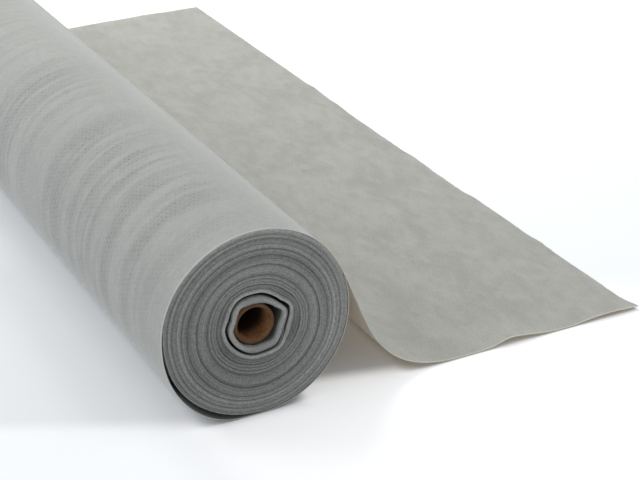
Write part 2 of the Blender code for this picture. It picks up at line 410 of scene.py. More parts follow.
# painted shade between the turns
WOUND_GAP_SHADE = (0.13, 0.13, 0.123, 1.0)
STRIP_INSET = 0.0008  # how far the winding's edges stay inside those of the outer turn
END_DEPTH = 0.0012  # the colour of the end reaches this deep
DARK_DEPTH = 0.0025  # and the painted shade between turns is full from here on
SPECK_HEIGHT = 0.0003
SPECK_SHARE = 0.4
STREAKS = (240.0, 0.0, 0.0)  # they change along the strip alone
STREAK_SHARE = 0.25

wound_material, chain, shader = new_finish("wound turns", {"Specular IOR Level": 0.2})
place = chain.node("ShaderNodeUVMap", uv_map="cloth").outputs["UV"]
web = chain.group(web_group, Place=place)
at_end = chain.node("ShaderNodeTexCoord").outputs["Object"]
specks = chain.noise(at_end, scale=900.0, detail=2.0, roughness=0.7)
speck_share = chain.span(specks, 0.35, 0.7, to_high=SPECK_SHARE)
streaks = chain.noise(chain.turned(place, 0.0, STREAKS), detail=2.0)
streak_share = chain.span(streaks, 0.3, 0.7, to_high=STREAK_SHARE)
ground = chain.mix(chain.attribute("tone"), WOUND_DARK, WOUND_PALE)
streaked = chain.mix(streak_share, ground, WOUND_DARK, "MULTIPLY")
specked = chain.mix(speck_share, streaked, WOUND_DARK, "MULTIPLY")
off_middle = chain.math("ABSOLUTE", chain.parts(place)["Y"])
depth = chain.math("SUBTRACT", HALF_WIDTH - STRIP_INSET, off_middle)
# Painted shade between the turns, left off the outside of the last turn.
shaded = chain.product(chain.span(depth, 0.0, DARK_DEPTH), chain.attribute("covered"))
outer_face = chain.mix(chain.span(depth, 0.0, END_DEPTH), specked, WOUND_OUTSIDE)
chain.feed(shader.inputs["Base Color"], chain.mix(shaded, outer_face, WOUND_GAP_SHADE))
chain.feed(shader.inputs["Normal"], chain.relief(chain.product(specks, SPECK_HEIGHT), 0.7))
chain.feed(shader.inputs["Roughness"], chain.span(web["Fibres"], 0.0, 1.0, 0.95, 0.85))
print("finish made:", wound_material.name)

# %% [markdown]
# The tube is wound from strips of brown board, glued in a spiral. The finish has the fibres of the
# board, the dark seam between strips and darker cut ends, and a painted shade darkens it inside the
# bore, where little light reaches.

# %% Finish of the board
BOARD_COLOUR = (0.42, 0.205, 0.085, 1.0)
BOARD_DARK = (0.19, 0.09, 0.04, 1.0)
BOARD_END = (0.075, 0.04, 0.024, 1.0)
BOARD_DEEP = (0.012, 0.007, 0.004, 1.0)
SEAM_PITCH = 0.06  # of the spiral seam, along the tube
SEAM_WIDTH = 0.03  # on each side, as a share of the pitch
SEAM_SHARE = 0.7
SEAM_DEPTH = 0.0003
GRAIN_STRETCH = (1.0, 0.25, 1.0)
GRAIN_SHARE = 0.6
GRAIN_HEIGHT = 0.00015
DARKER_END_WITHIN = 0.0004  # of a cut end
DARKER_END_SHARE = 0.75
DEEP_FROM = 0.006  # where it starts to get darker inside the bore, and where it has got dark
DEEP_TO = 0.022
DEEP_SHARE = 0.94
TUBE_CENTRE = (tube_low + tube_high) / 2
TUBE_HALF_LENGTH = (tube_high.y - tube_low.y) / 2

board_material, chain, shader = new_finish("board", {"Specular IOR Level": 0.3})
centred = chain.node(
    "ShaderNodeMapping",
    {
        "Vector": chain.node("ShaderNodeTexCoord").outputs["Object"],
        "Location": (-TUBE_CENTRE.x, 0, -TUBE_CENTRE.z),
    },
).outputs["Vector"]
parts = chain.parts(centred)
turn = chain.math("DIVIDE", chain.math("ARCTAN2", parts["Z"], parts["X"]), 2 * math.pi)
phase = chain.math("FRACT", chain.math("ADD", chain.math("DIVIDE", parts["Y"], SEAM_PITCH), turn))
off_seam = chain.math("ABSOLUTE", chain.math("SUBTRACT", phase, 0.5))
seam = chain.span(off_seam, 0.5 - SEAM_WIDTH, 0.5)
grain = chain.noise(chain.turned(centred, 0.0, GRAIN_STRETCH), scale=1500.0, roughness=0.6)
blotches = chain.product(chain.noise(centred, scale=120.0), 1 - GRAIN_SHARE)
mottled = chain.math("MULTIPLY_ADD", grain, GRAIN_SHARE, blotches)
ground = chain.mix(chain.span(mottled, 0.35, 0.65), BOARD_DARK, BOARD_COLOUR)
seamed = chain.mix(chain.product(seam, SEAM_SHARE), ground, BOARD_DARK)
from_end = chain.math("SUBTRACT", TUBE_HALF_LENGTH, chain.math("ABSOLUTE", parts["Y"]))
end_darkened = chain.span(from_end, DARKER_END_WITHIN, 0.0, to_high=DARKER_END_SHARE)
ended = chain.mix(end_darkened, seamed, BOARD_END)
deep = chain.span(from_end, DEEP_FROM, DEEP_TO, to_high=DEEP_SHARE)
chain.feed(shader.inputs["Base Color"], chain.mix(deep, ended, BOARD_DEEP))
groove = chain.product(seam, -SEAM_DEPTH)
height = chain.math("MULTIPLY_ADD", grain, GRAIN_HEIGHT, groove)
chain.feed(shader.inputs["Normal"], chain.relief(height, 0.8))
chain.feed(shader.inputs["Roughness"], chain.span(grain, 0.3, 0.7, 0.85, 0.7))
print("finish made:", board_material.name)

# %% [markdown]
# Every piece of cloth starts as a flat grid, since the web is made flat. A line in x and z says
# where each step along the sheet goes, and the rows run along the roll. The UV map keeps the flat
# sheet's own metres, and Solidify gives the web its thickness on both sides of the line.

# %% Sheet helpers
def on_circle(radius, degrees):
    """Points (x, z) at these angles about the roll's axis."""
    turn = np.radians(degrees)
    return AXIS + np.stack((radius * np.cos(turn), radius * np.sin(turn)), axis=-1)


def along_wrap(degrees):
    """The direction (x, z) in which the sheet runs over the roll towards its free end."""
    turn = math.radians(degrees)
    return np.array((math.sin(turn), -math.cos(turn)))


def bezier(a, b, c, d, steps):
    share = np.linspace(0, 1, steps + 1)[:, None]
    rest = 1 - share
    return rest**3 * a + 3 * rest**2 * share * b + 3 * rest * share**2 * c + share**3 * d


def run_length(line):
    """Metres from the line's start to each of its points."""
    return np.concatenate(([0], np.cumsum(np.linalg.norm(np.diff(line, axis=0), axis=1))))


def evenly(line, step):
    """The line again, with points about one step apart."""
    length = run_length(line)
    count = max(2, round(length[-1] / step))
    at = np.linspace(0, length[-1], count + 1)
    return np.stack([np.interp(at, length, line[:, k]) for k in (0, 1)], axis=1)


def normals_of(line):
    """The direction (x, z) square to the line, to its left, which is the sheet's upper face."""
    runs = np.gradient(line, axis=0)
    runs /= np.linalg.norm(runs, axis=1)[:, None]
    return np.stack((-runs[:, 1], runs[:, 0]), axis=1)


def smooth_step(value):
    held = np.clip(value, 0, 1)
    return held * held * (3 - 2 * held)


def wave(values, seed, size):
    """Smooth noise from -1 to 1 along one line."""
    return np.array([noise.noise(Vector((value / size, seed, 0.5))) for value in values])


def eased(outline, places, ease):
    """Values of an outline given at a few places, with its corners rounded over the ease."""
    at = sorted(outline)
    values = [outline[place] for place in at]
    return sum(np.interp(places + ease * k / 3, at, values) for k in range(-3, 4)) / 7


def field(along, across, seed, size_along, size_across):
    """Smooth noise from -1 to 1 over the cloth."""
    return np.array(
        [noise.noise(Vector((a / size_along, b / size_across, seed))) for a, b in zip(along, across)]
    )


print(f"once round the roll: {1000 * run_length(on_circle(ROLL_RADIUS, np.arange(361)))[-1]:.0f} mm")

# %% [markdown]
# A grid starts flat between -0.5 and 0.5. Each point's step along the sheet and its row across it are
# read off there, and with them it is laid out on the line. The rows lie closer together beside the
# two selvages, where the sheet's edge has to look crisp.

# %% Flat grid and its attributes
SELVAGE_ROWS = np.array((0.0, 0.0006, 0.0015, 0.0030))  # rows close to each long edge
SELVAGE = 0.0050


def rows_across(step):
    """Places across the sheet, a step apart, and closer beside the two selvages."""
    reach = HALF_WIDTH - SELVAGE
    middle = np.linspace(-reach, reach, round(2 * reach / step) + 1)
    return np.concatenate((SELVAGE_ROWS - HALF_WIDTH, middle, HALF_WIDTH - SELVAGE_ROWS[::-1]))


def as_object(shape, name):
    """The bmesh as a new mesh object in the scene."""
    mesh = bpy.data.meshes.new(name)
    shape.to_mesh(mesh)
    shape.free()
    made = bpy.data.objects.new(name, mesh)
    bpy.context.scene.collection.objects.link(made)
    return made


def flat_grid(name, steps, rows):
    """A flat grid as a mesh object, and each point's step and row."""
    shape = bmesh.new()
    bmesh.ops.create_grid(shape, x_segments=steps, y_segments=rows, size=0.5)
    made = as_object(shape, name)
    flat = np.empty(len(made.data.vertices) * 3, np.float32)
    made.data.vertices.foreach_get("co", flat)
    flat = flat.reshape(-1, 3)
    step = np.rint((flat[:, 0] + 0.5) * steps).astype(int)
    row = np.rint((flat[:, 1] + 0.5) * rows).astype(int)
    return made, step, row


def lay_out(piece, profile, across):
    """Puts each point at its place (x, z) on the sheet's line and at its place across."""
    points = np.stack((profile[:, 0], across, profile[:, 1]), axis=1)
    piece.data.vertices.foreach_set("co", points.astype(np.float32).ravel())
    piece.data.update()


def write_cloth_map(mesh, along, across):
    """The UV map in metres along and across the cloth, from values at the points."""
    layer = mesh.uv_layers.new(name="cloth")
    corner = np.empty(len(mesh.loops), np.int32)
    mesh.loops.foreach_get("vertex_index", corner)
    flat = np.stack((along[corner], across[corner]), axis=1)
    layer.uv.foreach_set("vector", flat.astype(np.float32).ravel())


def write_values(mesh, **values):
    """An attribute for each name, with a value at each point."""
    for name, at_points in values.items():
        layer = mesh.attributes.new(name, "FLOAT", "POINT")
        layer.data.foreach_set("value", at_points.astype(np.float32))


def finish_cloth(piece, material, thickness):
    """Gives a laid-out grid its material, thickness, and smooth shading up to its sharp edges."""
    piece.data.materials.append(material)
    piece.data.shade_smooth()
    shape = bmesh.new()
    shape.from_mesh(piece.data)
    for edge in shape.edges:
        edge.smooth = not edge.is_boundary
    shape.to_mesh(piece.data)
    shape.free()
    body = piece.modifiers.new("thickness", "SOLIDIFY")
    body.thickness = thickness
    body.offset = 0
    body.use_even_offset = True


print("close rows beside each selvage:", len(SELVAGE_ROWS))

# %% [markdown]
# The line of the sheet starts on the winding, inside the place where the drop leaves it. It goes down
# the right side and under the roll, lies on the floor for a short way, bulges out at the left and
# comes to lie on the winding again. It goes over the top, leaves the roll at the right and falls to
# the floor in one soft S. Two arcs, two cubic curves and a straight end on the floor make this line.

# %% The line of the sheet
ON_FLOOR = SHEET / 2
WRAP_RADIUS = ROLL_RADIUS - SHEET / 2
START_ANGLE = 17
LEAVE_ANGLE = 31
LOOSE_FROM_ANGLE = 172
BOTTOM_ANGLE = -90
CURVE_STEPS = 200
LEFT_TOUCH = -0.19  # x in roll radii, as for the next three
RIGHT_TOUCH = 2.31
BULGE_HANDLES = (0.48, 0.62)  # how far the handles of a curve reach from its two ends
DROP_HANDLES = (0.705, 1.17)

touches_left = np.array((LEFT_TOUCH * ROLL_RADIUS, ON_FLOOR))
settles = on_circle(WRAP_RADIUS, LOOSE_FROM_ANGLE)
bulge = bezier(
    touches_left,
    touches_left - (BULGE_HANDLES[0] * ROLL_RADIUS, 0),
    settles - BULGE_HANDLES[1] * ROLL_RADIUS * along_wrap(LOOSE_FROM_ANGLE),
    settles,
    CURVE_STEPS,
)
arc = on_circle(WRAP_RADIUS, np.linspace(LOOSE_FROM_ANGLE, LEAVE_ANGLE, CURVE_STEPS))
leaves = on_circle(WRAP_RADIUS, LEAVE_ANGLE)
touches = np.array((RIGHT_TOUCH * ROLL_RADIUS, ON_FLOOR))
drop = bezier(
    leaves,
    leaves + DROP_HANDLES[0] * ROLL_RADIUS * along_wrap(LEAVE_ANGLE),
    touches - (DROP_HANDLES[1] * ROLL_RADIUS, 0),
    touches,
    2 * CURVE_STEPS,
)
inner_arc = on_circle(WRAP_RADIUS, np.linspace(START_ANGLE, BOTTOM_ANGLE, CURVE_STEPS))
end = np.array((END_X, ON_FLOOR))
whole_line = np.vstack((inner_arc, bulge, arc[1:], drop[1:], end))
whole_length = run_length(whole_line)
leave_length = whole_length[-1 - len(drop)]
print(f"sheet outside the winding: {1000 * whole_length[-1]:.0f} mm long")

# %% [markdown]
# The sheet is made in three lengths. The first ends under the roll and never moves. The other two
# meet where the drop bends neither way, so that no line shows there. They share the line, the map
# and the finish.

# %% Where the lengths meet
ARC_STEP = 0.0044
FLOOR_STEP = 0.0033
ROW_STEP = 0.0022
MEET_X = 0.0806  # the drop is straight here

on_drop = whole_length > leave_length
meet_length = whole_length[on_drop][np.argmin(np.abs(whole_line[on_drop, 0] - MEET_X))]
inner_end = len(inner_arc) - 1
past_inner = whole_length >= whole_length[inner_end]
inner_line = evenly(inner_arc, ARC_STEP)
upper_line = evenly(whole_line[past_inner & (whole_length <= meet_length)], ARC_STEP)
lower_line = evenly(whole_line[whole_length >= meet_length], FLOOR_STEP)
inner_length = run_length(inner_line)
upper_length = inner_length[-1] + run_length(upper_line)
lower_length = run_length(lower_line)
for length in (inner_length, upper_length, lower_length):
    print(f"a length of {1000 * np.ptp(length):.0f} mm")

# %% [markdown]
# The second length goes round the roll. Tension leaves bands in a thin web: long ones that run right
# round, and short broken ones between them. Noise stretched along the sheet makes both, and the same
# values dent the sheet and tell its finish where to paint the dents' shade. They fade out where the
# sheet leaves the roll. The selvage stands off the winding a little, so a dark line shows under it.

# %% Outer turn and upper drop
TENSION_ANGLES = (62, 112, 185, 215)  # it grows between the first two, and fades between the others
TENSION_INSET = 0.022  # within this of a selvage it fades too
TENSION_LEAST = 0.45  # between its patches along the roll
BAND_SIZES = (  # share, seed, length along and width across in metres
    (0.7, 5.5, 0.300, 0.0125),
    (0.7, 2.5, 0.120, 0.0058),
    (0.5, 8.5, 0.032, 0.0037),
)
BAND_DEPTH = 0.00016
FREE_BEFORE = 0.038  # the finish starts to turn free this far before the sheet leaves the roll
FREE_WITHIN = 0.033
SELVAGE_FLARE = 0.0001
FLARE_WIDTH = 0.003
FLARE_TO_ANGLE = 182
FLARE_FADE = 8  # degrees

rows = rows_across(ROW_STEP)
outer_sheet, step, row = flat_grid("outer_sheet", len(upper_line) - 1, len(rows) - 1)
along, across = upper_length[step], rows[row]
centre, side = upper_line[step], normals_of(upper_line)[step]
angle = np.degrees(np.arctan2(centre[:, 1] - AXIS[1], centre[:, 0])) % 360
inside = HALF_WIDTH - np.abs(across)
grows, grown, fades, faded = TENSION_ANGLES
on_left = smooth_step((angle - grows) / (grown - grows))
on_left *= smooth_step((faded - angle) / (faded - fades))
patches = smooth_step(0.5 + 1.2 * wave(across, seed=3.5, size=0.06))
tension = on_left * (TENSION_LEAST + (1 - TENSION_LEAST) * patches)
tension *= smooth_step(inside / TENSION_INSET)
bands = 0.5
for share, seed, size_along, size_across in BAND_SIZES:
    bands = bands + share * field(along, across, seed, size_along, size_across)
band = smooth_step(bands)
free = smooth_step((along - leave_length + FREE_BEFORE) / FREE_WITHIN)
wrapped = smooth_step((angle - LEAVE_ANGLE) / FLARE_FADE)
wrapped *= smooth_step((FLARE_TO_ANGLE - angle) / FLARE_FADE)
flare = SELVAGE_FLARE * wrapped * smooth_step(1 - inside / FLARE_WIDTH)
flare *= 1 + 0.6 * wave(along, seed=4.5, size=0.012)
profile = centre + (flare - BAND_DEPTH * tension * band)[:, None] * side
lay_out(outer_sheet, profile, across)
write_cloth_map(outer_sheet.data, along, across)
write_values(outer_sheet.data, tension=tension, band=band, free=free)
finish_cloth(outer_sheet, sheet_material, SHEET)
print(f"outer_sheet: {len(outer_sheet.data.polygons)} faces")

# %% [markdown]
# The inner length lies on the winding, under the turn that comes after it. Nothing dents it there, so
# wide rows are enough, and its three attributes stay zero.

# %% Inner end of the outer turn
rows = rows_across(10 * ROW_STEP)
inner_sheet, step, row = flat_grid("inner_sheet", len(inner_line) - 1, len(rows) - 1)
lay_out(inner_sheet, inner_line[step], rows[row])
write_cloth_map(inner_sheet.data, inner_length[step], rows[row])
none = np.zeros(len(step))
write_values(inner_sheet.data, tension=none, band=none, free=none)
finish_cloth(inner_sheet, sheet_material, SHEET)
print(f"inner_sheet: {len(inner_sheet.data.polygons)} faces")

# %% [markdown]
# The last length ends the drop and lies on the floor. It is not quite flat: low swells run across
# it, and its near selvage stands off the floor in two places. The cut end waves, since the sheet was
# cut by hand. Two outlines say by how many millimetres, at a few places along each of these edges.

# %% Lower drop and free end
SETTLES_WITHIN = 0.02  # on each side of the touching line
SWELL = 0.0013
SWELL_LENGTH = 0.045
SWELL_WIDTH = 0.11
SWELL_ENDS = 0.02  # before the cut end
HEM = 0.034  # how far in from the selvage it stands off the floor
RAGGED = 0.0005
CUT_REACH = 0.05  # how far back from the cut end its wave moves the web
SELVAGE_LIFT = {  # x in millimetres: height in millimetres
    190: 0.2, 203: 1.2, 209: 3.0, 214: 4.9, 219: 5.5, 226: 5.3, 239: 3.2, 255: 1.0, 265: 0.3,
    278: 0.3, 293: 2.2, 305: 3.1, 317: 3.3, 341: 2.0,
}
CUT_END = {  # y in millimetres: how far the cut lies beyond its mean line, in millimetres
    -457: 2.6, -451: 0.6, -443: -1.8, -430: -1.4, -400: -0.4, -340: -1.0, -313: 0.7, -300: -1.4,
    -250: -0.8, -204: -1.0, -188: -3.3, -150: -3.6, -92: -2.1, -68: -3.7, 45: -3.8, 72: -1.9,
    89: -3.1, 132: -0.8, 148: -2.5, 457: -1.6,
}

rows = rows_across(1.5 * ROW_STEP)
free_sheet, step, row = flat_grid("free_sheet", len(lower_line) - 1, len(rows) - 1)
along, across = lower_length[step], rows[row]
centre, side = lower_line[step], normals_of(lower_line)[step]
on_floor = smooth_step((centre[:, 0] - TOUCH_X + SETTLES_WITHIN) / (2 * SETTLES_WITHIN))
before_end = smooth_step((END_X - centre[:, 0]) / SWELL_ENDS)
swell = smooth_step(0.5 + 0.5 * field(along, across, 4.5, SWELL_LENGTH, SWELL_WIDTH))
hem = np.exp(-(((across + HALF_WIDTH) / HEM) ** 2))
lift = SWELL * on_floor * before_end * swell * (1 - hem)
lift += hem * eased(SELVAGE_LIFT, 1000 * centre[:, 0], ease=4) / 1000
cut = eased(CUT_END, 1000 * across, ease=5) / 1000
cut += RAGGED * wave(across, seed=5.5, size=0.005)
profile = centre + lift[:, None] * side
profile[:, 0] += cut * smooth_step(1 - (END_X - centre[:, 0]) / CUT_REACH)
lay_out(free_sheet, profile, across)
write_cloth_map(free_sheet.data, along + upper_length[-1], across)
none = np.zeros(len(step))
write_values(free_sheet.data, tension=none, band=none, free=none + 1)
finish_cloth(free_sheet, sheet_material, SHEET)
print(f"free_sheet: {len(free_sheet.data.polygons)} faces")

# %% [markdown]
# The winding is one strip too, rolled up on the tube: an unbroken spiral of a little over a hundred
# turns. Near the tube the turns follow a many-cornered form, since the first ones were folded on by
# hand, and a gap parts them from the rest. Further out the turns become round, and here and there a
# turn lies looser and leaves a dark ring. Each outline gives radii in millimetres at a few angles in
# degrees, counted from the right, anticlockwise as seen from the near end.

# %% Outlines of the winding
BUNDLE_INSIDE = {
    15: 21.3, 35: 17.6, 60: 16.9, 86: 16.6, 112: 17.6, 129: 20.1, 143: 18.3, 163: 17.3,
    183: 19.0, 206: 18.3, 235: 18.4, 256: 17.5, 287: 17.5, 309: 19.8, 333: 17.6, 350: 17.6,
}
BUNDLE_OUTSIDE = {
    14: 25.2, 35: 22.2, 58: 21.6, 86: 22.5, 107: 23.4, 122: 24.5, 138: 23.8, 160: 21.2, 176: 22.8,
    189: 23.0, 213: 22.6, 234: 22.5, 256: 23.6, 282: 23.6, 306: 25.3, 320: 23.6, 342: 22.2,
}
GAP_OUTSIDE = {
    17: 27.9, 38: 23.8, 60: 23.8, 81: 25.0, 94: 24.9, 115: 26.4, 125: 26.6, 146: 24.8, 158: 23.7,
    178: 25.4, 190: 24.8, 220: 24.1, 239: 24.6, 261: 25.6, 281: 25.7, 308: 28.2, 325: 25.6,
    342: 24.4, 352: 25.0,
}
INNER_RING = {
    11: 34.9, 28: 33.6, 45: 31.8, 81: 31.6, 110: 33.2, 129: 33.6, 167: 32.0, 208: 32.8, 255: 32.9,
    303: 35.4, 339: 35.6,
}
MIDDLE_RING = {
    13: 52.5, 45: 50.5, 90: 49.8, 135: 50.0, 180: 50.5, 225: 52.5, 255: 54.9, 277: 55.6, 305: 55.6,
    335: 55.2,
}
OUTER_RING = {40: 73.9, 140: 73.9, 165: 73.8, 180: 73.3, 192: 72.9, 203: 73.5, 215: 73.8, 250: 73.8}
CORNER_EASE = 4  # degrees on each side


def ring(outline, angles):
    """The radius at these angles on a closed outline, with its corners a little eased."""
    places = np.array(sorted(outline))
    radii = np.array([outline[place] for place in places]) / 1000
    sharp = np.interp(np.arange(360), places, radii, period=360)
    moved = [np.roll(sharp, k) for k in range(-CORNER_EASE, CORNER_EASE + 1)]
    return np.interp(angles, np.arange(360), sum(moved) / len(moved), period=360)


def mean_radius(outline):
    return ring(outline, np.arange(360.0)).mean()


print(f"mean radius of the innermost turn: {1000 * mean_radius(BUNDLE_INSIDE):.1f} mm")

# %% [markdown]
# The turns are counted outwards from the tube. A running sum of their pitch, with a little extra
# room at each loose turn, gives every step of the spiral a level, and the outlines above turn levels
# into radii. The last printed number shows that no turn cuts into its neighbour.

# %% Stack of turns
TURN_POINTS = 96
WEB_THICKNESS = 0.0004
TURN_PITCH = 0.0005
BUNDLE_TURNS = 8.7
GAP_TURNS = 0.2  # the sheet crosses the gap within this part of a turn
LOOSENS_WITHIN = 0.16  # of a turn
LOOSE_TURNS = (  # radius in millimetres, extra room in millimetres, where on the turn it starts
    (28.6, 0.20, 0.1), (30.8, 0.14, 0.6), (33.0, 0.26, 0.3), (35.4, 0.18, 0.8), (37.6, 0.22, 0.5),
    (40.6, 0.14, 0.9), (45.0, 0.10, 0.2), (49.4, 0.26, 0.4), (53.4, 0.14, 0.7), (56.4, 0.20, 0.15),
    (60.4, 0.16, 0.55), (64.0, 0.14, 0.35), (67.2, 0.16, 0.85), (70.6, 0.16, 0.25),
)

gap_mean = mean_radius(GAP_OUTSIDE)
all_extra = sum(extra for _, extra, _ in LOOSE_TURNS) / 1000
outer_turns = (mean_radius(OUTER_RING) - gap_mean - all_extra) / TURN_PITCH
steps = round((BUNDLE_TURNS + GAP_TURNS + outer_turns) * TURN_POINTS)
turns = np.arange(steps + 1) / TURN_POINTS
angles = (BOTTOM_ANGLE + 360 * (turns[-1] - turns)) % 360

stack = gap_mean + np.clip(turns - BUNDLE_TURNS - GAP_TURNS, 0, None) * TURN_PITCH
for radius, extra, where in LOOSE_TURNS:
    begins = math.floor(turns[np.argmax(stack >= radius / 1000)]) + where
    stack = stack + extra / 1000 * smooth_step((turns - begins) / LOOSENS_WITHIN)
levels = np.array((gap_mean, mean_radius(INNER_RING), mean_radius(MIDDLE_RING), stack[-1]))
rings = (GAP_OUTSIDE, INNER_RING, MIDDLE_RING, OUTER_RING)
outlines = np.stack([ring(outline, angles) for outline in rings])
outlines[0] += WEB_THICKNESS / 2
level = np.clip(np.searchsorted(levels, stack, side="right") - 1, 0, len(levels) - 2)
share = (stack - levels[level]) / (levels[level + 1] - levels[level])
column = np.arange(steps + 1)
beyond = outlines[level, column] * (1 - share) + outlines[level + 1, column] * share

bundle_share = np.clip(turns / BUNDLE_TURNS, 0, 1)
within = ring(BUNDLE_INSIDE, angles) + WEB_THICKNESS / 2
bundle = within * (1 - bundle_share) + (ring(BUNDLE_OUTSIDE, angles) - WEB_THICKNESS / 2) * bundle_share
crossed = smooth_step((turns - BUNDLE_TURNS) / GAP_TURNS)
radii = bundle * (1 - crossed) + beyond * crossed
least = (radii[TURN_POINTS:] - radii[:-TURN_POINTS]).min() - WEB_THICKNESS
print(f"{turns[-1]:.1f} turns, least room between two of them {1000 * least:.3f} mm")

# %% [markdown]
# The strip is made flat, one face wide, and each step of it is laid on the spiral. Its two long
# edges don't end level: each turn stands a few tenths of a millimetre in or out, as on a real roll,
# and that lets light fall on some edges and not on others. The tone follows the turns too, and on top
# of a tone that changes at random it holds painted light and shade: painted light in the middle of
# the bundle round the tube and painted shade towards its edges, painted shade beside each loose turn,
# on the left and on the gap's first turn, painted light just outside the gap, and painted light
# again at the rim, most towards the top.

# %% Roll up the strip
TURN_SHIFT = 0.00035
FINE_SHIFT = 0.00022
BUNDLE_SHIFT = 0.0005
TONE = 0.35  # from dark, 0, to pale, 1
TONE_CHANGE = 0.22  # from turn to turn
RING_SHADE = 0.0008  # how far the painted shade beside a loose turn reaches
# painted shade on the left of the end face
LEFT_SHADE = 0.08
GAP_LIGHT = 0.14  # painted light on the turns just outside the gap,
GAP_LIGHT_REACH = 0.0011
GAP_SHADE = 0.30  # and painted shade on the very first of them
GAP_SHADE_REACH = 0.0003
# painted light on the outer turns, strongest towards the top, less a little painted shade
RIM_TURNS = 9
RIM_SHADE = 0.05
TOP_LIGHT = 0.42
TOP_ANGLE = 75
# a painted highlight on the last turn
LAST_TURN_LIGHT = 0.30
LAST_TURN_FROM = 1.3  # counted from the rim
LAST_TURN_FADE = 0.3
BUNDLE_TONE = 0.15
BUNDLE_LIGHT = 0.36  # painted light in the middle of the bundle, which leaves its edges in painted shade
COVERED_TURNS = 0.02

wound_sheet, step, row = flat_grid("wound_sheet", steps, 1)
line = AXIS + (on_circle(1.0, angles) - AXIS) * radii[:, None]
strip_length = run_length(line)
shift = TURN_SHIFT * wave(turns, seed=11.5, size=2.3)
shift += FINE_SHIFT * wave(turns, seed=13.5, size=0.35)
shift += BUNDLE_SHIFT * (turns < BUNDLE_TURNS)
across = np.where(row == 0, -1, 1) * (HALF_WIDTH - STRIP_INSET + shift[step])
lay_out(wound_sheet, line[step], across)
write_cloth_map(wound_sheet.data, strip_length[step], across)

from_rim = turns[-1] - turns
towards_top = 0.5 + 0.5 * np.cos(np.radians(angles - TOP_ANGLE))
towards_left = 0.5 - 0.5 * np.cos(np.radians(angles))
tone = TONE + TONE_CHANGE * wave(turns, seed=17.5, size=4.3)
tone += TONE_CHANGE * wave(turns, seed=19.5, size=2.1)
# Painted shade beside each loose turn, on the left and on the gap's first turn, and painted light just
# outside the gap, on the outer turns towards the top and on the last turn.
for radius, extra, _ in LOOSE_TURNS:
    tone -= extra * np.exp(-(((stack - radius / 1000) / RING_SHADE) ** 2))
tone -= LEFT_SHADE * towards_left**2
tone += GAP_LIGHT * np.exp(-(((stack - gap_mean) / GAP_LIGHT_REACH) ** 2))
tone -= GAP_SHADE * np.exp(-(((stack - gap_mean) / GAP_SHADE_REACH) ** 2))
tone += (TOP_LIGHT * towards_top**2 - RIM_SHADE) * smooth_step(1 - from_rim / RIM_TURNS)
tone += LAST_TURN_LIGHT * smooth_step((LAST_TURN_FROM - from_rim) / LAST_TURN_FADE)
# The bundle: painted light in its middle, painted shade towards its edges.
bundle_tone = BUNDLE_TONE + BUNDLE_LIGHT * np.sin(np.pi * bundle_share) ** 0.7
tone = np.where(turns < BUNDLE_TURNS + GAP_TURNS / 2, bundle_tone, tone)
covered = smooth_step((from_rim - 1) / COVERED_TURNS)
write_values(wound_sheet.data, tone=tone[step], covered=covered[step])
finish_cloth(wound_sheet, wound_material, WEB_THICKNESS)
print(f"wound strip: {strip_length[-1]:.2f} m long, {len(wound_sheet.data.polygons)} faces")

# %% [markdown]
# The tube is a ring between two circles, drawn out to its length. Its four round edges are eased
# with a small bevel, as a saw and handling leave them.

# %% Core tube
LIP = 0.0005
TUBE_WALL = 0.0025
TUBE_POINTS = 96
tube_radius = (tube_high.x - tube_low.x) / 2

shape = bmesh.new()
circles = []
for radius in (tube_radius, tube_radius - TUBE_WALL):
    made = bmesh.ops.create_circle(shape, segments=TUBE_POINTS, radius=radius)
    circles += list({edge for vert in made["verts"] for edge in vert.link_edges})
bmesh.ops.bridge_loops(shape, edges=circles)
made = bmesh.ops.extrude_face_region(shape, geom=shape.faces[:])
far_end = [item for item in made["geom"] if isinstance(item, bmesh.types.BMVert)]
bmesh.ops.translate(shape, verts=far_end, vec=(0, 0, 2 * TUBE_HALF_LENGTH))
bmesh.ops.translate(shape, verts=shape.verts, vec=(0, 0, -TUBE_HALF_LENGTH))
lying = Matrix.Rotation(math.pi / 2, 3, "X")
bmesh.ops.rotate(shape, verts=shape.verts, cent=(0, 0, 0), matrix=lying)
lips = [edge for edge in shape.edges if edge.calc_face_angle(0) > 1]
bmesh.ops.bevel(shape, geom=lips, offset=LIP, segments=3, profile=0.5, affect="EDGES", material=-1)
bmesh.ops.recalc_face_normals(shape, faces=shape.faces)
bmesh.ops.translate(shape, verts=shape.verts, vec=TUBE_CENTRE)
core_board = as_object(shape, "core_board")
core_board.data.materials.append(board_material)
core_board.data.shade_smooth()
core_board.data.set_sharp_from_angle(angle=math.radians(50))
print(f"core_board: {len(core_board.data.polygons)} faces")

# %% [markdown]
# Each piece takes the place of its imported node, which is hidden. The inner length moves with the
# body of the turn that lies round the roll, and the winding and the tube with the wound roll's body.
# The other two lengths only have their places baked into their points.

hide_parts("loose_outer_turn")
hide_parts("loose_outer_turn")
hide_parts("fabric_drop", "fabric_tail")
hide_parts("fabric_winding")
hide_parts("core_tube")
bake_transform(outer_sheet)
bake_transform(free_sheet)
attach(inner_sheet, "lying_turn")
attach(wound_sheet, "wound_roll")
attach(core_board, "wound_roll")

# %% [markdown]
# The floor is one wide pale square, a little below the sheet, so that the two never share a plane.

# %% Floor
FLOOR_COLOUR = (0.86, 0.87, 0.885, 1.0)
WHITE = (1.0, 1.0, 1.0, 1.0)
FLOOR_REACH = 8.0
FLOOR_BELOW = 0.0004

